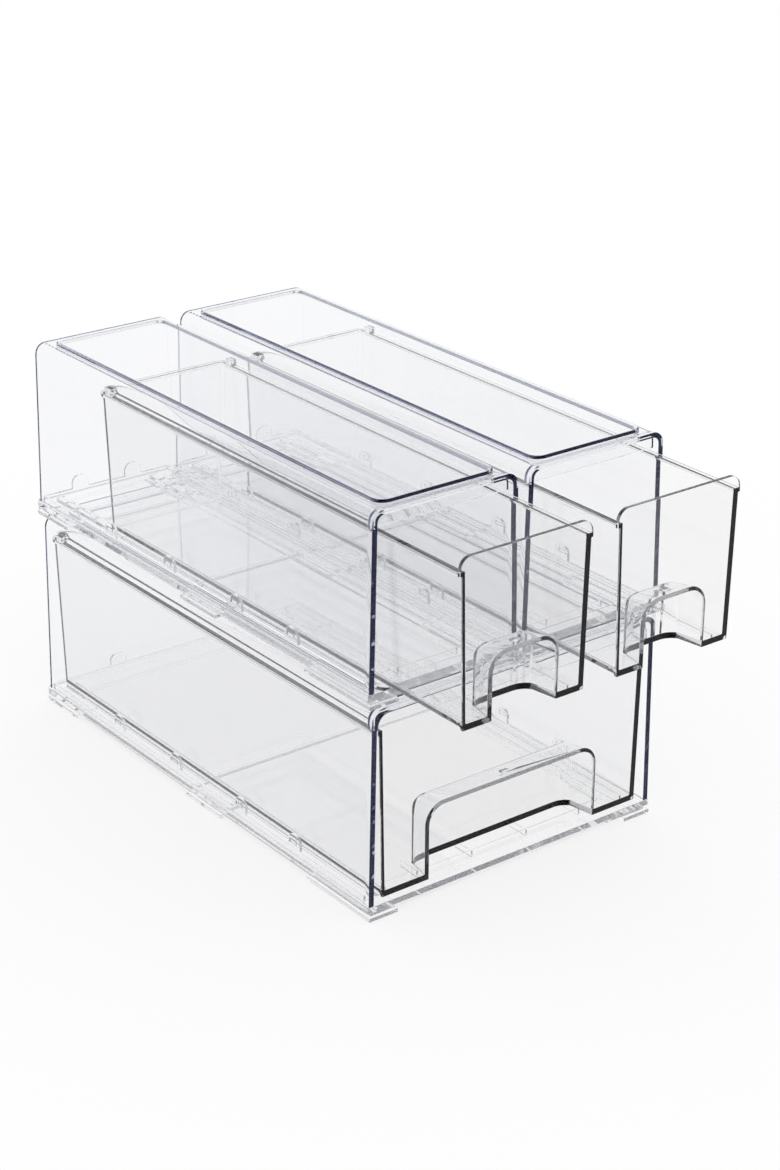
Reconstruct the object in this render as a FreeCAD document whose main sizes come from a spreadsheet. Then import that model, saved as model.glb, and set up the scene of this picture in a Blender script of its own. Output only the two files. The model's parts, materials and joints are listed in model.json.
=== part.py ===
import FreeCAD, Part
import math
import os
import re

import Sketcher
from FreeCAD import Vector

# Three stackable fridge drawers of clear moulded plastic: one wide unit below and two narrow
# ones side by side on top of it. Each unit is a shell, a clip-on base and a pull-out drawer.
# In a unit's own frame x = 0 is its middle, y = 0 the front plane of its shell and z = 0 the
# surface that its feet rest on. Millimetres throughout.

SIZES = {
    # the units
    "shellDepth": 350,
    "wideWidth": 208,
    "wideHeight": 129,
    "narrowWidth": 101.5,
    "narrowHeight": 113,
    "narrowGap": 5,
    "drawerPull": 68,
    # shell
    "shellWall": 2.8,
    "shellTop": 2.4,
    "shellDraft": 2.2,
    "shoulderRadius": 7,
    "backEdge": 3,
    "plateauRise": 2.4,
    "plateauFront": 6,
    "widePlateauSide": 11,
    "widePlateauBack": 14,
    "narrowPlateauSide": 8,
    "narrowPlateauBack": 10,
    "plateauRadius": 8,
    "plateauEdge": 0.8,
    "lipSetback": 4.4,
    "lipThick": 2,
    "beadProud": 0.8,
    "beadDepth": 5.2,
    # base
    "footHeight": 2.4,
    "footWidth": 20,
    "footProud": 1.2,
    "frontFoot": 59,
    "middleFoot": 37,
    "middleFootAt": 165.5,
    "backFoot": 39,
    "plinthHeight": 2.2,
    "plinthInset": 1.2,
    "flangeHeight": 4,
    "flangeProud": 1.4,
    "plinthRadius": 3.5,
    "sillDepth": 8,
    "trayDepth": 2.2,
    "trayFloor": 2.4,
    "fitGap": 0.3,
    "upstandThick": 1.8,
    "upstandRise": 3.4,
    "tabWidth": 12,
    "tabRise": 11.9,
    "tabRadius": 5,
    "firstTabAt": 75,
    "secondTabAt": 130,
    "thirdTabAt": 200,
    "fourthTabAt": 265,
    "wideBackTabAt": 50,
    "narrowBackTabAt": 20,
    "catchWidth": 6,
    "catchHeight": 1.6,
    "catchRise": 7,
    "catchProud": 1,
    "stiffenerThick": 1.2,
    "stiffenerLength": 15,
    "stiffenerSetback": 5,
    "stiffenerRise": 4,
    "stiffenerPitch": 41,
    "crossRibAt": 179,
    "crossRibWidth": 3,
    "crossRibRise": 1.6,
    "railWidth": 6,
    # drawer
    "drawerLift": 2.9,
    "drawerWall": 2.6,
    "drawerFloor": 3,
    "tubDraft": 2,
    "tubRadius": 3.4,
    "tubEdge": 1.8,
    "wideRimDrop": 11.6,
    "narrowRimDrop": 9.6,
    "rimClearance": 1.4,
    "rimGap": 0.8,
    "rimWidth": 2,
    "rimThick": 2,
    "rimRadius": 7.5,
    "lugWidth": 4,
    "lugLength": 6,
    "lugHeight": 4,
    "lugSetback": 9.4,
    "glideWidth": 1.2,
    "glideHeight": 2.4,
    "glideInset": 6,
    "glideGap": 0.3,
    "panelThick": 2.4,
    "panelRecess": 1.2,
    "panelSideGap": 1.6,
    "panelTopGap": 1.2,
    "panelRadius": 7,
    # finger pull
    "widePullWidth": 123,
    "widePullHeight": 45,
    "narrowPullWidth": 44,
    "narrowPullHeight": 37,
    "pullDepth": 21,
    "pullSlope": 3.5,
    "pullWall": 2.4,
    "pullArchRadius": 11,
    "pullCornerRadius": 12,
    "pullEdge": 4,
    "gateHalf": 3,
    "gateRadius": 2.8,
    "gateSetback": 10,
    "gateRise": 0.5,
    # how far a cut runs past the face that it opens
    "overcut": 1,
}

UNITS = [
    # name, kind, x and z of the unit, how far its drawer stands open
    ("wide", "wide", "0", "0", "0"),
    ("left", "narrow", "-(narrowWidth + narrowGap) / 2", "wideHeight + plateauRise", "drawerPull"),
    ("right", "narrow", "(narrowWidth + narrowGap) / 2", "wideHeight + plateauRise", "drawerPull"),
]

# Heights above the rest surface that several pieces share.
SEAT = "(footHeight + plinthHeight + flangeHeight)"
TRAY_TOP = f"({SEAT} - trayDepth)"
TAB_TOP = f"({SEAT} + tabRise)"
DRAWER_UNDER = f"({SEAT} + drawerLift)"

# The tub and the rim end within the panel that they join.
PANEL_MIDDLE = "(panelRecess + panelThick / 2)"
PANEL_BACK = "(panelRecess + panelThick)"

# Distances back from the shell's front plane.
HOLLOW_BACK = "(shellDepth - shellWall)"
UPSTAND_BACK = f"({HOLLOW_BACK} - fitGap)"
RIM_BACK = f"({HOLLOW_BACK} - rimGap)"
TUB_BACK = f"({RIM_BACK} - rimWidth)"

# All units stand so that the whole set, with its drawers open, is centred on y = 0.
UNIT_FRONT = "((drawerPull - panelRecess) - (shellDepth + flangeProud)) / 2"

MIDDLE = "0"
SIDE_TABS = ("firstTabAt", "secondTabAt", "thirdTabAt", "fourthTabAt")


def hollowHalf(kind, level):
    """Half the width inside the shell at a height: its walls lean in by the draft."""
    lean = f"shellDraft * ({level} - {SEAT}) / ({kind}Height - {SEAT})"
    return f"({kind}Width / 2 - shellWall - {lean})"


def ceiling(kind):
    return f"({kind}Height - shellTop)"


def rimTop(kind):
    return f"({ceiling(kind)} - {kind}RimDrop)"


def rimHalf(kind):
    return f"({hollowHalf(kind, rimTop(kind))} - rimGap)"


def tubHalf(kind):
    return f"({rimHalf(kind)} - rimWidth)"


def tubHalfAt(kind, level):
    """Half the tub's width at a height: its walls lean out from the floor to the rim."""
    top = rimTop(kind)
    return f"({tubHalf(kind)} - tubDraft * ({top} - {level}) / ({top} - {DRAWER_UNDER}))"


def upstandHalf(kind):
    """Half the width over the base's tabs, which just clear the shell's leaning walls."""
    return f"({hollowHalf(kind, TAB_TOP)} - fitGap)"


def glideAt(kind):
    return f"({tubHalf(kind)} - tubDraft - glideInset)"


doc = FreeCAD.newDocument("FridgeDrawers")
sheet = doc.addObject("Spreadsheet::Sheet", "Sizes")
for row, (alias, size) in enumerate(SIZES.items(), 1):
    sheet.set(f"A{row}", alias)
    sheet.set(f"B{row}", str(size))
    sheet.setAlias(f"B{row}", alias)
doc.recompute()


def onSheet(rule):
    """The rule with each size that it names pointed at its cell."""
    return re.sub(r"[a-zA-Z]\w*", lambda word: ("Sizes." if word[0] in SIZES else "") + word[0], rule)


def worth(rule):
    return float(sheet.evalExpression(rule))


# ---------------------------------------------------------------- sketches and features


def originFeature(body, role):
    return next(feature for feature in body.Origin.OriginFeatures if feature.Role == role)


def sketchOn(body, name, role, level):
    """A sketch parallel to one of the body's planes; for XZ the level counts forward."""
    sketch = body.newObject("Sketcher::SketchObject", name)
    sketch.AttachmentSupport = [(originFeature(body, role), "")]
    sketch.MapMode = "FlatFace"
    sketch.setExpression("AttachmentOffset.Base.z", onSheet(level))
    return sketch


def planSketch(body, name, height):
    return sketchOn(body, name, "XY_Plane", height)


def frontSketch(body, name, setback):
    return sketchOn(body, name, "XZ_Plane", f"-({setback})")


def sideSketch(body, name, across):
    return sketchOn(body, name, "YZ_Plane", across)


def bindLast(sketch, rule):
    sketch.setExpression(f"Constraints[{sketch.ConstraintCount - 1}]", onSheet(rule))


def cornerArc(before, corner, after, radius):
    """The arc that rounds a corner, where it meets the incoming and the outgoing line."""
    inward = (corner - before).normalize()
    outward = (after - corner).normalize()
    turn = inward.getAngle(outward)
    start = corner - inward * radius * math.tan(turn / 2)
    end = corner + outward * radius * math.tan(turn / 2)
    left = inward.cross(outward).z > 0
    square = Vector(-inward.y, inward.x, 0) if left else Vector(inward.y, -inward.x, 0)
    centre = start + square * radius
    first, last = (start, end) if left else (end, start)
    angles = [math.atan2((point - centre).y, (point - centre).x) for point in (first, last)]
    circle = Part.Circle(centre, Vector(0, 0, 1), radius)
    arc = Part.ArcOfCircle(circle, angles[0], angles[1])
    return arc, start, end, (1, 2) if left else (2, 1)


def outline(sketch, corners):
    """A closed outline through corners (across, up, radius); radius None keeps one sharp."""
    spots = [Vector(worth(across), worth(up), 0) for across, up, radius in corners]
    marks = []
    for spot, (across, up, radius) in zip(spots, corners):
        mark = sketch.addGeometry(Part.Point(spot), True)
        sketch.addConstraint(Sketcher.Constraint("DistanceX", mark, 1, spot.x))
        bindLast(sketch, across)
        sketch.addConstraint(Sketcher.Constraint("DistanceY", mark, 1, spot.y))
        bindLast(sketch, up)
        marks.append(mark)
    arcs = []
    for index, (across, up, radius) in enumerate(corners):
        if radius is None:
            arcs.append(None)
            continue
        after = spots[(index + 1) % len(spots)]
        arc, start, end, ends = cornerArc(spots[index - 1], spots[index], after, worth(radius))
        number = sketch.addGeometry(arc, False)
        sketch.addConstraint(Sketcher.Constraint("Radius", number, worth(radius)))
        bindLast(sketch, radius)
        arcs.append((number, start, end, ends))
    for index, arc in enumerate(arcs):
        other = (index + 1) % len(arcs)
        start = arc[2] if arc else spots[index]
        end = arcs[other][1] if arcs[other] else spots[other]
        line = sketch.addGeometry(Part.LineSegment(start, end), False)
        for place, corner, arcEnd in ((1, index, 1), (2, other, 0)):
            if arcs[corner] is None:
                sketch.addConstraint(Sketcher.Constraint("Coincident", line, place, marks[corner], 1))
                continue
            number, _, _, ends = arcs[corner]
            meet = Sketcher.Constraint("Tangent", line, place, number, ends[arcEnd])
            sketch.addConstraint(meet)
            sketch.addConstraint(Sketcher.Constraint("PointOnObject", marks[corner], 1, line))


def rectangle(sketch, left, right, low, high):
    outline(sketch, [(left, low, None), (right, low, None), (right, high, None), (left, high, None)])


def feature(body, kind, sketch, name):
    made = body.newObject("PartDesign::" + kind, name)
    made.Profile = sketch
    sketch.Visibility = False
    return made


def pad(body, sketch, length, against=False):
    made = feature(body, "Pad", sketch, sketch.Name + "Pad")
    made.setExpression("Length", onSheet(length))
    made.Reversed = against
    return made


def pocket(body, sketch, length, along=False):
    made = feature(body, "Pocket", sketch, sketch.Name + "Pocket")
    made.setExpression("Length", onSheet(length))
    made.Reversed = along
    return made


def named(shapes, word, chosen):
    """The names of the edges or faces whose boxes lie as chosen says."""
    return [f"{word}{number}" for number, shape in enumerate(shapes, 1) if chosen(shape.BoundBox)]


def finishEdges(body, kind, size, chosen):
    """Round (Fillet) or bevel (Chamfer) the edges whose boxes lie as chosen says."""
    doc.recompute()
    last = body.Tip
    made = body.newObject("PartDesign::" + kind, kind)
    made.Base = (last, named(last.Shape.Edges, "Edge", chosen))
    made.setExpression({"Fillet": "Radius", "Chamfer": "Size"}[kind], onSheet(size))
    return made


def lean(body, fixed, chosen, drop, run):
    """Lean the chosen faces inward by a drop over a run, away from the fixed face."""
    doc.recompute()
    last = body.Tip
    made = body.newObject("PartDesign::Draft", "Lean")
    made.Base = (last, named(last.Shape.Faces, "Face", chosen))
    made.NeutralPlane = (last, named(last.Shape.Faces, "Face", fixed))
    made.setExpression("Angle", f"atan({onSheet(drop)} / {onSheet(run)})")
    made.Reversed = True
    return made


def near(value, rule):
    return abs(value - worth(rule)) < 0.1


def flat(low, high, rule):
    """Whether a box's two limits along an axis both lie at the rule's place."""
    return near(low, rule) and near(high, rule)


def upright(box):
    return box.ZLength > worth("drawerWall")


def mirror(body, originals):
    made = body.newObject("PartDesign::Mirrored", "Mirror")
    made.Originals = originals
    made.MirrorPlane = (originFeature(body, "YZ_Plane"), [""])
    body.Tip = made
    return made


def combine(body, other, how):
    made = body.newObject("PartDesign::Boolean", how)
    made.setObjects([other])
    made.Type = how
    return made


def newBody(label):
    body = doc.addObject("PartDesign::Body", label)
    body.Label = label
    return body


# ---------------------------------------------------------------- shell


def archOutline(sketch, kind, low, high, grow, radius):
    """The shell's section between two heights, grown outward from its hollow."""
    halfLow = f"{hollowHalf(kind, low)} + {grow}"
    halfHigh = f"{hollowHalf(kind, high)} + {grow}"
    outline(sketch, [
        (f"-({halfLow})", low, None),
        (halfLow, low, None),
        (halfHigh, high, radius),
        (f"-({halfHigh})", high, radius),
    ])


def plateauOutline(sketch, kind, inward, radius):
    """The plateau's oblong, or one that lies further inward by the given distance."""
    half = f"({kind}Width / 2 - shellDraft - {kind}PlateauSide - {inward})"
    front = f"plateauFront + {inward}"
    back = f"shellDepth - {kind}PlateauBack - {inward}"
    outline(sketch, [
        (f"-{half}", front, radius),
        (half, front, radius),
        (half, back, radius),
        (f"-{half}", back, radius),
    ])


def buildShell(label, kind):
    body = newBody(label)
    top = f"{kind}Height"

    # the block, with leaning sides and rounded long edges
    block = frontSketch(body, "Block", MIDDLE)
    archOutline(block, kind, SEAT, top, "shellWall", "shoulderRadius")
    pad(body, block, "shellDepth", against=True)
    finishEdges(
        body, "Chamfer", "backEdge",
        lambda box: near(box.YMin, "shellDepth") and not near(box.ZMax, SEAT),
    )

    # the thicker edge round the opening, which thins out towards the back
    bead = frontSketch(body, "Bead", MIDDLE)
    archOutline(
        bead, kind, SEAT, f"({top} + beadProud)", "(shellWall + beadProud)", "shoulderRadius + beadProud",
    )
    swell = pad(body, bead, "beadDepth", against=True)
    swell.setExpression("TaperAngle", onSheet("-atan(beadProud / beadDepth)"))

    # the raised plateau that the unit above stands on
    plateau = planSketch(body, "Plateau", f"{top} - shellTop / 2")
    plateauOutline(plateau, kind, "0", "plateauRadius")
    pad(body, plateau, "plateauRise + shellTop / 2")
    finishEdges(body, "Chamfer", "plateauEdge", lambda box: near(box.ZMin, f"{top} + plateauRise"))

    # the hollow, open below and in front, and the plateau's recess above it
    hollow = frontSketch(body, "Hollow", MIDDLE)
    archOutline(hollow, kind, f"({SEAT} - overcut)", ceiling(kind), "0", "shoulderRadius - shellWall")
    pocket(body, hollow, HOLLOW_BACK)
    recess = planSketch(body, "Recess", ceiling(kind))
    plateauOutline(recess, kind, "shellTop", "plateauRadius - shellTop")
    pocket(body, recess, "plateauRise", along=True)

    # the lip behind the opening, which the drawer's lugs come up against
    lip = frontSketch(body, "Lip", "lipSetback")
    archOutline(
        lip, kind, f"({rimTop(kind)} + rimClearance)", f"({kind}Height - shellTop / 2)",
        "shellWall / 2", "shoulderRadius - shellWall / 2",
    )
    pad(body, lip, "lipThick", against=True)

    # shallow slots for the catches on the base's tabs
    slots = sideSketch(body, "Slots", f"{upstandHalf(kind)} + catchProud + fitGap")
    for spot in SIDE_TABS:
        rectangle(
            slots, f"{spot} - catchWidth / 2 - fitGap", f"{spot} + catchWidth / 2 + fitGap",
            f"{SEAT} + catchRise - fitGap", f"{SEAT} + catchRise + catchHeight + fitGap",
        )
    slotPocket = pocket(body, slots, "catchProud + overcut")
    mirror(body, [slotPocket])
    return body


# ---------------------------------------------------------------- base


def plan(sketch, half, front, back, backRadius):
    """An oblong with square corners in front and the given ones behind."""
    outline(sketch, [
        (f"-({half})", front, None),
        (half, front, None),
        (half, back, backRadius),
        (f"-({half})", back, backRadius),
    ])


def fence(sketch, half, back, front, width, outerRadius, innerRadius):
    """A strip along both sides and the back, open at the front."""
    inner = f"({half} - {width})"
    outline(sketch, [
        (f"-{half}", front, None),
        (f"-{inner}", front, None),
        (f"-{inner}", f"{back} - {width}", innerRadius),
        (inner, f"{back} - {width}", innerRadius),
        (inner, front, None),
        (half, front, None),
        (half, back, outerRadius),
        (f"-{half}", back, outerRadius),
    ])


def tabOutline(sketch, middle):
    left = f"{middle} - tabWidth / 2"
    right = f"{middle} + tabWidth / 2"
    foot = f"{SEAT} - trayDepth / 2"
    outline(sketch, [
        (left, foot, None),
        (right, foot, None),
        (right, TAB_TOP, "tabRadius"),
        (left, TAB_TOP, "tabRadius"),
    ])


def buildBase(label, kind):
    body = newBody(label)
    half = f"{kind}Width / 2"
    plinthHalf = f"({half} - plinthInset)"
    trayHalf = f"({upstandHalf(kind)} - upstandThick)"
    trayBack = f"({UPSTAND_BACK} - upstandThick)"

    # plinth and flange, stepped so that the flange shows as a thin ledge all round
    plinth = planSketch(body, "Plinth", "footHeight")
    plan(plinth, plinthHalf, "plinthInset", "shellDepth - plinthInset", "plinthRadius")
    pad(body, plinth, "plinthHeight + flangeHeight / 2")
    flange = planSketch(body, "Flange", "footHeight + plinthHeight")
    plan(flange, f"{half} + flangeProud", MIDDLE, "shellDepth + flangeProud", "plinthRadius + flangeProud")
    pad(body, flange, "flangeHeight")

    # the tray behind the front sill, and the recess below its floor
    tray = planSketch(body, "Tray", SEAT)
    plan(tray, trayHalf, "sillDepth", trayBack, None)
    pocket(body, tray, "trayDepth")
    under = planSketch(body, "Under", "footHeight")
    plan(
        under, f"{plinthHalf} - footWidth", "plinthInset + footWidth",
        "shellDepth - plinthInset - footWidth", None,
    )
    pocket(body, under, f"{TRAY_TOP} - trayFloor - footHeight", along=True)

    # the upstand that locates the shell
    upstand = planSketch(body, "Upstand", f"{SEAT} - trayDepth / 2")
    fence(upstand, upstandHalf(kind), UPSTAND_BACK, "sillDepth", "upstandThick", "upstandThick", None)
    pad(body, upstand, "upstandRise + trayDepth / 2")

    # clip tabs along the back
    backTabs = frontSketch(body, "BackTabs", UPSTAND_BACK)
    for side in ("-", ""):
        tabOutline(backTabs, f"{side}{kind}BackTabAt")
    pad(body, backTabs, "upstandThick")

    # a rib across the floor
    cross = planSketch(body, "CrossRib", TRAY_TOP)
    rectangle(
        cross, f"-{trayHalf}", trayHalf,
        "crossRibAt - crossRibWidth / 2", "crossRibAt + crossRibWidth / 2",
    )
    pad(body, cross, "crossRibRise")

    # what the left side mirrors: tabs and their catches, foot strips, stiffeners and the rail
    tabs = sideSketch(body, "SideTabs", trayHalf)
    catches = sideSketch(body, "Catches", upstandHalf(kind))
    for spot in SIDE_TABS:
        tabOutline(tabs, spot)
        rectangle(
            catches, f"{spot} - catchWidth / 2", f"{spot} + catchWidth / 2",
            f"{SEAT} + catchRise", f"{SEAT} + catchRise + catchHeight",
        )
    tabPad = pad(body, tabs, "upstandThick")
    catchPad = pad(body, catches, "catchProud")

    feet = planSketch(body, "Feet", "footHeight")
    outer = f"({half} + footProud)"
    inner = f"({outer} - footWidth)"
    back = "(shellDepth + footProud)"
    rectangle(feet, inner, outer, "middleFootAt - middleFoot / 2", "middleFootAt + middleFoot / 2")
    rectangle(feet, inner, outer, "-footProud", "frontFoot")
    outline(feet, [
        (inner, f"{back} - backFoot", None),
        (outer, f"{back} - backFoot", None),
        (outer, back, "plinthRadius"),
        (inner, back, None),
    ])
    footPad = pad(body, feet, "footHeight", against=True)

    stiffeners = planSketch(body, "Stiffeners", TRAY_TOP)
    pairs = {"wide": 2, "narrow": 1}[kind]
    for number in range(pairs):
        middle = f"(stiffenerPitch * {number + 0.5})"
        rectangle(
            stiffeners, f"{middle} - stiffenerThick / 2", f"{middle} + stiffenerThick / 2",
            "sillDepth + stiffenerSetback", "sillDepth + stiffenerSetback + stiffenerLength",
        )
    stiffenerPad = pad(body, stiffeners, "stiffenerRise")

    rail = planSketch(body, "Rail", TRAY_TOP)
    rectangle(
        rail, f"{glideAt(kind)} - railWidth / 2", f"{glideAt(kind)} + railWidth / 2",
        "sillDepth", trayBack,
    )
    railPad = pad(body, rail, f"{DRAWER_UNDER} - glideHeight - glideGap - {TRAY_TOP}")
    mirror(body, [tabPad, catchPad, footPad, stiffenerPad, railPad])
    return body


# ---------------------------------------------------------------- drawer


def pullForm(label, kind, grow):
    """The finger pull's hollow, or the housing a wall thicker, as a body to combine."""
    body = newBody(label)
    low = DRAWER_UNDER
    below = f"({low} - pullSlope - pullArchRadius)"
    high = f"({low} + {kind}PullHeight + {grow})"
    back = f"(panelRecess + pullDepth + {grow})"
    half = f"({kind}PullWidth / 2 + {grow})"
    radius = f"(pullArchRadius + {grow})"

    # an arch seen from the front, which tapers towards the back
    arch = frontSketch(body, "Arch", "panelRecess")
    outline(arch, [
        (f"-{half}", below, None),
        (half, below, None),
        (half, high, radius),
        (f"-{half}", high, radius),
    ])
    tapered = pad(body, arch, f"pullDepth + {grow}", against=True)
    tapered.setExpression("TaperAngle", onSheet("-atan(pullSlope / pullDepth)"))
    finishEdges(
        body, "Fillet", f"pullEdge + {grow}",
        lambda box: flat(box.YMin, box.YMax, back) and box.ZMax > worth(low),
    )

    # its corners in plan, and its open underside
    floorPlan = newBody(label + "_plan")
    corners = planSketch(floorPlan, "Corners", low)
    plan(corners, half, "panelRecess", back, f"pullCornerRadius + {grow}")
    pad(floorPlan, corners, f"{kind}PullHeight + {grow}")
    combine(body, floorPlan, "Common")
    return body


def tubForm(label, kind, front, wall, floor):
    """The tub's outside, or its hollow a wall and a floor further in, as a body."""
    body = newBody(label)
    low = f"({DRAWER_UNDER} + {floor})"
    top = rimTop(kind)
    tub = planSketch(body, "Tub", low)
    plan(tub, f"({tubHalf(kind)} - {wall})", front, f"({TUB_BACK} - {wall})", None)
    pad(body, tub, f"{top} - {low}")

    # the sides and the back lean so that the tub leaves its mould
    lean(
        body,
        lambda box: flat(box.ZMin, box.ZMax, top),
        lambda box: upright(box) and not flat(box.YMin, box.YMax, front),
        "tubDraft", f"({top} - {DRAWER_UNDER})",
    )
    finishEdges(
        body, "Fillet", f"tubRadius - {wall}",
        lambda box: upright(box) and not near(box.YMin, front),
    )
    finishEdges(
        body, "Chamfer", f"tubEdge - {wall} / 2",
        lambda box: flat(box.ZMin, box.ZMax, low) and not flat(box.YMin, box.YMax, front),
    )
    return body


def panelOutline(sketch, kind):
    top = f"({ceiling(kind)} - panelTopGap)"
    ledge = f"({rimTop(kind)} - rimThick)"
    halves = [
        (tubHalfAt(kind, DRAWER_UNDER), DRAWER_UNDER, None),
        (tubHalfAt(kind, ledge), ledge, None),
        (f"({hollowHalf(kind, ledge)} - panelSideGap)", ledge, None),
        (f"({hollowHalf(kind, top)} - panelSideGap)", top, "panelRadius"),
    ]
    outline(sketch, halves + [(f"-{half}", up, radius) for half, up, radius in reversed(halves)])


def buildDrawer(label, kind):
    under = DRAWER_UNDER
    top = rimTop(kind)

    # the tub, which the panel closes in front
    body = tubForm(label, kind, PANEL_MIDDLE, "0", "0")
    combine(body, tubForm(label + "_inside", kind, PANEL_BACK, "drawerWall", "drawerFloor"), "Cut")

    # the front panel: below the rim it leans with the tub, above it fills the shell's opening
    panel = frontSketch(body, "Panel", "panelRecess")
    panelOutline(panel, kind)
    pad(body, panel, "panelThick", against=True)

    # the rim round the sides and the back
    rim = planSketch(body, "Rim", f"{top} - rimThick")
    fence(
        rim, rimHalf(kind), RIM_BACK, PANEL_MIDDLE, "(rimWidth + drawerWall / 2)",
        "rimRadius", "tubRadius - drawerWall / 2",
    )
    pad(body, rim, "rimThick")

    # stop lugs on the rim and glides under the floor, on both sides
    lug = planSketch(body, "Lug", top)
    lugOuter = f"({rimHalf(kind)} - drawerWall / 4)"
    lugBack = f"({RIM_BACK} - lugSetback)"
    rectangle(lug, f"{lugOuter} - lugWidth", lugOuter, f"{lugBack} - lugLength", lugBack)
    lugPad = pad(body, lug, "lugHeight")
    glide = planSketch(body, "Glide", under)
    rectangle(
        glide, f"{glideAt(kind)} - glideWidth / 2", f"{glideAt(kind)} + glideWidth / 2",
        "sillDepth", f"{TUB_BACK} - tubDraft - sillDepth",
    )
    glidePad = pad(body, glide, "glideHeight", against=True)
    mirror(body, [lugPad, glidePad])

    # the finger pull: a housing behind the panel, open below and in front
    combine(body, pullForm(label + "_housing", kind, "pullWall"), "Fuse")
    combine(body, pullForm(label + "_hollow", kind, "0"), "Cut")

    # the mould's gate mark on the housing's roof
    roof = f"({under} + {kind}PullHeight + pullWall - pullSlope * gateSetback / pullDepth)"
    mark = planSketch(body, "Gate", f"{roof} - pullWall / 2")
    middle = "(panelRecess + gateSetback)"
    outline(mark, [
        ("-gateHalf", f"{middle} - gateHalf", "gateRadius"),
        ("gateHalf", f"{middle} - gateHalf", "gateRadius"),
        ("gateHalf", f"{middle} + gateHalf", "gateRadius"),
        ("-gateHalf", f"{middle} + gateHalf", "gateRadius"),
    ])
    pad(body, mark, "pullWall / 2 + gateRise")
    return body


# ---------------------------------------------------------------- the set


def build():
    made = []
    for name, kind, across, up, pull in UNITS:
        for piece, builder, forward in (
            ("shell", buildShell, "0"), ("base", buildBase, "0"), ("drawer", buildDrawer, pull),
        ):
            body = builder(f"{name}_{piece}", kind)
            body.setExpression("Placement.Base.x", onSheet(across))
            body.setExpression("Placement.Base.y", onSheet(f"{UNIT_FRONT} - ({forward})"))
            body.setExpression("Placement.Base.z", onSheet(up))
            made.append(body)
    doc.recompute()
    return made


bodies = build()
for item in doc.Objects:
    if "Invalid" in item.State or "Error" in item.State:
        raise RuntimeError(f"{item.Label} failed: {item.State}")
os.makedirs("parts", exist_ok=True)
for body in bodies:
    if body.Shape.isNull() or not body.Shape.isValid() or len(body.Shape.Solids) != 1:
        raise RuntimeError(f"{body.Label} is not one valid solid")
for body in bodies:
    body.Shape.exportStep(f"parts/{body.Label}.step")
    box = body.Shape.BoundBox
    print(f"{body.Label}: {body.Shape.Volume / 1000:.1f} cm3, {box}")
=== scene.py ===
import bpy
import json
from math import radians
from mathutils import Matrix, Vector


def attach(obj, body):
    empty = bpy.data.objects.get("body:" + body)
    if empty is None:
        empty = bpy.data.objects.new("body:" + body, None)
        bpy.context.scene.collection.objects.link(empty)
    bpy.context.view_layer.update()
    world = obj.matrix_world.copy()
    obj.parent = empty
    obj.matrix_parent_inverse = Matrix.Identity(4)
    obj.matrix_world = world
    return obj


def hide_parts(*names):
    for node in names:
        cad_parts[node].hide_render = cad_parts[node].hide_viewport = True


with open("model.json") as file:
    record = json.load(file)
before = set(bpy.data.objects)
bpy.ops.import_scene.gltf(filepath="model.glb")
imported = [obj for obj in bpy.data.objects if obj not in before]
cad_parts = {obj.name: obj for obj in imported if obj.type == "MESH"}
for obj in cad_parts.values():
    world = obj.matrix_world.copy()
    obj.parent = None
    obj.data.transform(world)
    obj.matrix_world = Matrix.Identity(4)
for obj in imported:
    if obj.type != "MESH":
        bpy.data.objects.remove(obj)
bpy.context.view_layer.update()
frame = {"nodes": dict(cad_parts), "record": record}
scene = bpy.context.scene
bpy.ops.object.select_all(action="DESELECT")
print("frame loaded:", len(frame["nodes"]), "pieces")


def hexColor(code):
    # sRGB hex to the linear values that Blender's sockets take
    parts = [int(code[i:i + 2], 16) / 255 for i in (0, 2, 4)]
    return [p / 12.92 if p <= 0.04045 else ((p + 0.055) / 1.055) ** 2.4 for p in parts] + [1.0]


def millimetres(value):
    return value / 1000


def addNode(tree, kind, settings=None, links=None):
    # one node, with its properties and input values set and its inputs linked
    node = tree.nodes.new(kind)
    for name, value in (settings or {}).items():
        if isinstance(name, int) or name in node.inputs:
            node.inputs[name].default_value = value
        else:
            setattr(node, name, value)
    for name, source in (links or {}).items():
        tree.links.new(source, node.inputs[name])
    return node


def newMaterial(name):
    material = bpy.data.materials.new(name)
    material.use_nodes = True
    material.node_tree.nodes.clear()
    return material


# Crystal polystyrene, injection moulded in a polished mould. It is colourless in a thin wall,
# and its volume takes a blue-grey painted shade where light runs a long way inside it, far deeper
# than the plastic's own faint absorption, so each edge draws a dark line. The plastic ripples
# faintly where it flowed, and its polish is worn to a faint haze in patches.
clearPlastic = {
    "tint": "FFFFFF",
    "edgeGlint": "808080",      # how much a face seen straight on mirrors
    "shadowTint": "FCFCFD",     # what one skin takes from the light that falls through it
    "flowWidth": 28.0,          # mm between ripples
    "flowRise": 0.010,          # mm
    "flowDetail": 1.0,
    "grainWidth": 1.6,          # mm between the hazy specks, drawn coarse enough to show
    "grainDetail": 2.0,
    "hazeFrom": 0.4,            # grain value where the polish starts to dull
    "hazeTo": 0.8,              # and where it is at its dullest
}

# The plastic is the same on every kind of piece, but these values are fitted apart, to how
# dark each kind's edges look: how it bends light, the blue-grey painted shade that it takes where
# it is deep, how soon it takes it, and its haze
moulds = {
    "shell": {"ior": 1.50, "paintedEdgeShadeColor": "7483B0", "paintedEdgeShadeDensity": 12.0, "haze": 0.02},
    "drawer": {"ior": 1.57, "paintedEdgeShadeColor": "787B88", "paintedEdgeShadeDensity": 18.0, "haze": 0.02},
    "base": {"ior": 1.45, "paintedEdgeShadeColor": "8A8C96", "paintedEdgeShadeDensity": 3.5, "haze": 0.05},
}


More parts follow.
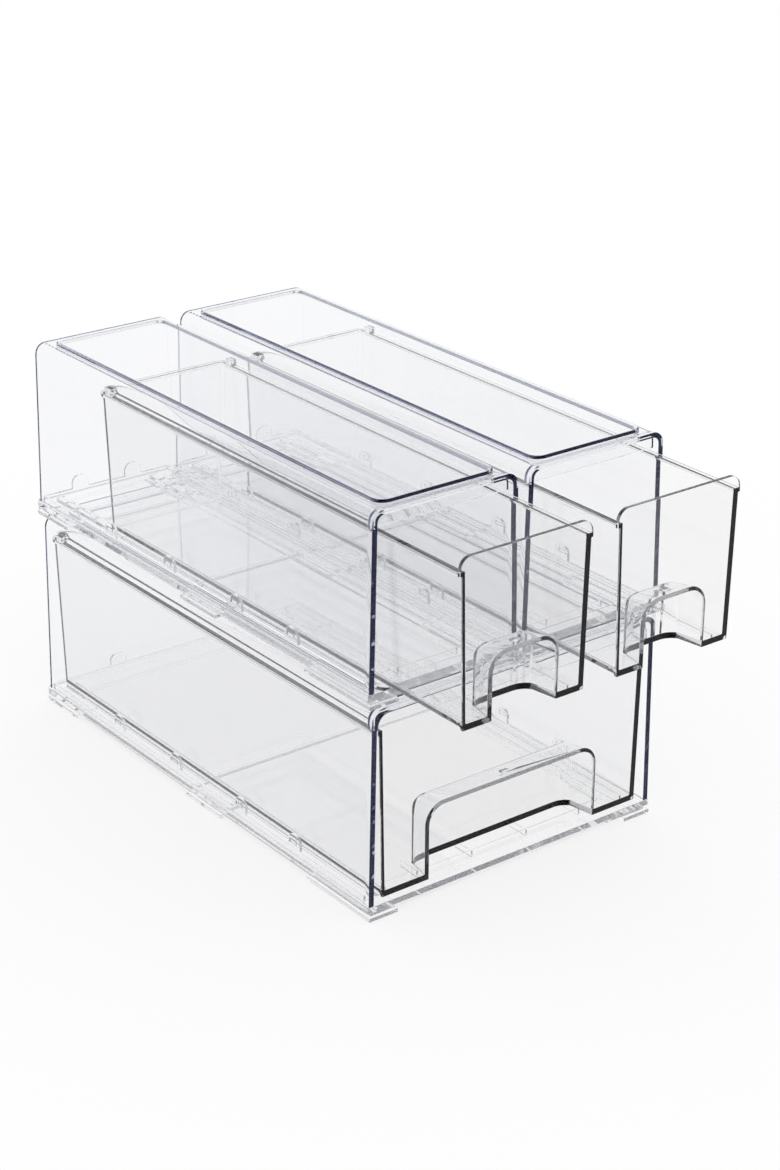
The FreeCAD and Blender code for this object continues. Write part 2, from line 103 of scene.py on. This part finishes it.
def makeClearPlastic(kind, mould):
    material = newMaterial("crystalPolystyrene_" + kind)
    tree = material.node_tree
    place = addNode(tree, "ShaderNodeTexCoord")
    flow = addNode(tree, "ShaderNodeTexNoise", {
        "Scale": 1 / millimetres(clearPlastic["flowWidth"]),
        "Detail": clearPlastic["flowDetail"],
    }, {"Vector": place.outputs["Object"]})
    ripple = addNode(tree, "ShaderNodeBump", {
        "Strength": 1.0,
        "Distance": millimetres(clearPlastic["flowRise"]),
    }, {"Height": flow.outputs[0]})
    grain = addNode(tree, "ShaderNodeTexNoise", {
        "Scale": 1 / millimetres(clearPlastic["grainWidth"]),
        "Detail": clearPlastic["grainDetail"],
    }, {"Vector": place.outputs["Object"]})
    haze = addNode(tree, "ShaderNodeMapRange", {
        "From Min": clearPlastic["hazeFrom"],
        "From Max": clearPlastic["hazeTo"],
        "To Min": 0.0,
        "To Max": mould["haze"],
    }, {"Value": grain.outputs[0]})
    body = addNode(tree, "ShaderNodeBsdfPrincipled", {
        "Base Color": hexColor(clearPlastic["tint"]),
        "IOR": mould["ior"],
        "Specular Tint": hexColor(clearPlastic["edgeGlint"]),
        "Transmission Weight": 1.0,
    }, {"Roughness": haze.outputs[0], "Normal": ripple.outputs[0]})
    # light falls through to the floor instead of stopping at the plastic
    path = addNode(tree, "ShaderNodeLightPath")
    through = addNode(tree, "ShaderNodeBsdfTransparent", {
        "Color": hexColor(clearPlastic["shadowTint"])})
    skin = addNode(tree, "ShaderNodeMixShader", links={
        0: path.outputs["Is Shadow Ray"], 1: body.outputs[0], 2: through.outputs[0]})
    # painted shade: a blue-grey absorption, far deeper than the plastic's own, that darkens each
    # edge into a line
    paintedEdgeShade = addNode(tree, "ShaderNodeVolumeAbsorption", {
        "Color": hexColor(mould["paintedEdgeShadeColor"]),
        "Density": mould["paintedEdgeShadeDensity"],
    })
    addNode(tree, "ShaderNodeOutputMaterial", links={
        "Surface": skin.outputs[0], "Volume": paintedEdgeShade.outputs[0]})
    return material


# What the mould leaves on every piece, and the air between pieces that rest on each other
moulding = {
    "edgeRadius": 0.25,         # mm
    "edgeSteps": 2,
    "sharpFrom": 35.0,          # degrees between faces that meet in an edge
    "contactGap": 0.08,         # mm
    "weld": 0.002,              # mm
    "flatWithin": 0.5,          # degrees
    "undersideTurn": 0.99,      # how squarely a face looks down to count as the underside
    "undersideDepth": 0.05,     # mm above the lowest point
    "flatWeight": 100,          # how much a large face leads the shading
}


def selectUnderside(piece):
    # the flat faces that the piece rests on
    low = min(v.co.z for v in piece.data.vertices)
    for face in piece.data.polygons:
        down = face.normal.z < -moulding["undersideTurn"]
        face.select = down and face.center.z - low < millimetres(moulding["undersideDepth"])
    return sum(face.select for face in piece.data.polygons)


def finishPiece(node, name):
    # a welded copy of the solid, with its underside raised a hair off what it rests on and
    # its edges eased
    piece = node.copy()
    piece.data = node.data.copy()
    piece.name = name + "_moulded"
    scene.collection.objects.link(piece)
    bpy.ops.object.select_all(action="DESELECT")
    piece.select_set(True)
    bpy.context.view_layer.objects.active = piece
    bpy.ops.object.mode_set(mode="EDIT")
    bpy.ops.mesh.select_mode(type="FACE")
    bpy.ops.mesh.select_all(action="SELECT")
    bpy.ops.mesh.remove_doubles(threshold=millimetres(moulding["weld"]))
    bpy.ops.mesh.dissolve_limited(angle_limit=radians(moulding["flatWithin"]))
    bpy.ops.mesh.select_all(action="DESELECT")
    bpy.ops.object.mode_set(mode="OBJECT")
    raised = selectUnderside(piece)
    bpy.ops.object.mode_set(mode="EDIT")
    bpy.ops.transform.translate(value=(0, 0, millimetres(moulding["contactGap"])))
    bpy.ops.object.mode_set(mode="OBJECT")
    eased = piece.modifiers.new("easedEdges", "BEVEL")
    eased.width = millimetres(moulding["edgeRadius"])
    eased.segments = moulding["edgeSteps"]
    eased.limit_method = "ANGLE"
    eased.angle_limit = radians(moulding["sharpFrom"])
    eased.use_clamp_overlap = False
    eased.miter_outer = "MITER_ARC"
    bpy.ops.object.modifier_apply(modifier=eased.name)
    bpy.ops.object.mode_set(mode="EDIT")
    bpy.ops.mesh.select_all(action="SELECT")
    bpy.ops.mesh.remove_doubles(threshold=millimetres(moulding["weld"]))
    bpy.ops.mesh.dissolve_degenerate(threshold=millimetres(moulding["weld"]))
    bpy.ops.object.mode_set(mode="OBJECT")
    bpy.ops.object.shade_smooth_by_angle(angle=radians(moulding["sharpFrom"]))
    # flat walls keep their own normal, and only the rounds between them are shaded round
    flat = piece.modifiers.new("flatWalls", "WEIGHTED_NORMAL")
    flat.mode = "FACE_AREA"
    flat.weight = moulding["flatWeight"]
    flat.keep_sharp = True
    bpy.ops.object.modifier_apply(modifier=flat.name)
    print(name, "lifted at", raised, "underside faces,", len(piece.data.polygons), "faces finished")
    return piece


plastics = {kind: makeClearPlastic(kind, mould) for kind, mould in moulds.items()}
bodies = frame["record"]["behaviour"]["bodies"]
bodyOf = {node: body for body, nodes in bodies.items() for node in nodes}
for name, node in frame["nodes"].items():
    piece = finishPiece(node, name)
    piece.data.materials.clear()
    piece.data.materials.append(plastics[name.split("_")[-1]])
    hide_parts(name)
    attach(piece, bodyOf[name])
print("clear plastic on", len(frame["nodes"]), "pieces")


# Plain white photo studio
studio = {
    "wall": "FFFFFF",
    "floor": "FFFFFF",
    "glow": "FFFFFF",
    "floorSize": 30.0,          # m
    "floorDrop": 0.5,           # mm below the feet
    "glowSeen": 0.8,            # how far the floor is lifted to plain white where it is seen
    "glowInPlastic": 0.88,      # and where it is seen through the plastic
    "bounces": 128,             # clear sheet guides light from edge to edge
}


def makeWorld():
    world = bpy.data.worlds.new("studioWorld")
    scene.world = world
    world.use_nodes = True
    tree = world.node_tree
    tree.nodes.clear()
    wall = addNode(tree, "ShaderNodeBackground", {
        "Color": hexColor(studio["wall"]), "Strength": 1.0})
    addNode(tree, "ShaderNodeOutputWorld", links={"Surface": wall.outputs[0]})


def makeFloor():
    bpy.ops.object.select_all(action="DESELECT")
    bpy.ops.mesh.primitive_plane_add(
        size=studio["floorSize"], location=(0, 0, -millimetres(studio["floorDrop"])))
    floor = bpy.context.object
    floor.name = "studioFloor"
    material = newMaterial("whitePaper")
    tree = material.node_tree
    paper = addNode(tree, "ShaderNodeBsdfDiffuse", {"Color": hexColor(studio["floor"])})
    glow = addNode(tree, "ShaderNodeEmission", {"Color": hexColor(studio["glow"]), "Strength": 1.0})
    path = addNode(tree, "ShaderNodeLightPath")
    inPlastic = addNode(tree, "ShaderNodeMath", {"operation": "MAXIMUM"}, {
        0: path.outputs["Is Transmission Ray"], 1: path.outputs["Is Glossy Ray"]})
    lifted = addNode(tree, "ShaderNodeMath", {
        "operation": "MULTIPLY", 1: studio["glowInPlastic"]}, {0: inPlastic.outputs[0]})
    share = addNode(tree, "ShaderNodeMath", {"operation": "MULTIPLY_ADD", 1: studio["glowSeen"]}, {
        0: path.outputs["Is Camera Ray"], 2: lifted.outputs[0]})
    seen = addNode(tree, "ShaderNodeMixShader", links={
        0: share.outputs[0], 1: paper.outputs[0], 2: glow.outputs[0]})
    addNode(tree, "ShaderNodeOutputMaterial", links={"Surface": seen.outputs[0]})
    floor.data.materials.append(material)


# Looking down on the near left corner
viewpoint = {
    "eye": (-0.8258, -1.0986, 0.7338),      # m
    "azimuth": -37.54,          # degrees, as are the two below
    "elevation": 23.83,
    "roll": 0.26,
    "focalPixels": 2504.85,
    "framePixels": 1170,
    "sensor": 36.0,             # mm
}


def makeCamera():
    data = bpy.data.cameras.new("camera")
    camera = bpy.data.objects.new("camera", data)
    scene.collection.objects.link(camera)
    data.sensor_fit = "AUTO"
    data.sensor_width = viewpoint["sensor"]
    data.lens = viewpoint["sensor"] * viewpoint["focalPixels"] / viewpoint["framePixels"]
    turn = Matrix.Rotation(radians(viewpoint["azimuth"]), 4, "Z")
    tilt = Matrix.Rotation(radians(90 - viewpoint["elevation"]), 4, "X")
    roll = Matrix.Rotation(radians(viewpoint["roll"]), 4, "Z")
    camera.matrix_world = Matrix.Translation(Vector(viewpoint["eye"])) @ turn @ tilt @ roll
    scene.camera = camera


makeWorld()
makeFloor()
makeCamera()
scene.view_settings.view_transform = "Standard"
scene.cycles.max_bounces = studio["bounces"]
scene.cycles.transmission_bounces = studio["bounces"]
scene.cycles.glossy_bounces = studio["bounces"]
scene.cycles.transparent_max_bounces = studio["bounces"]
print("studio, floor and camera")
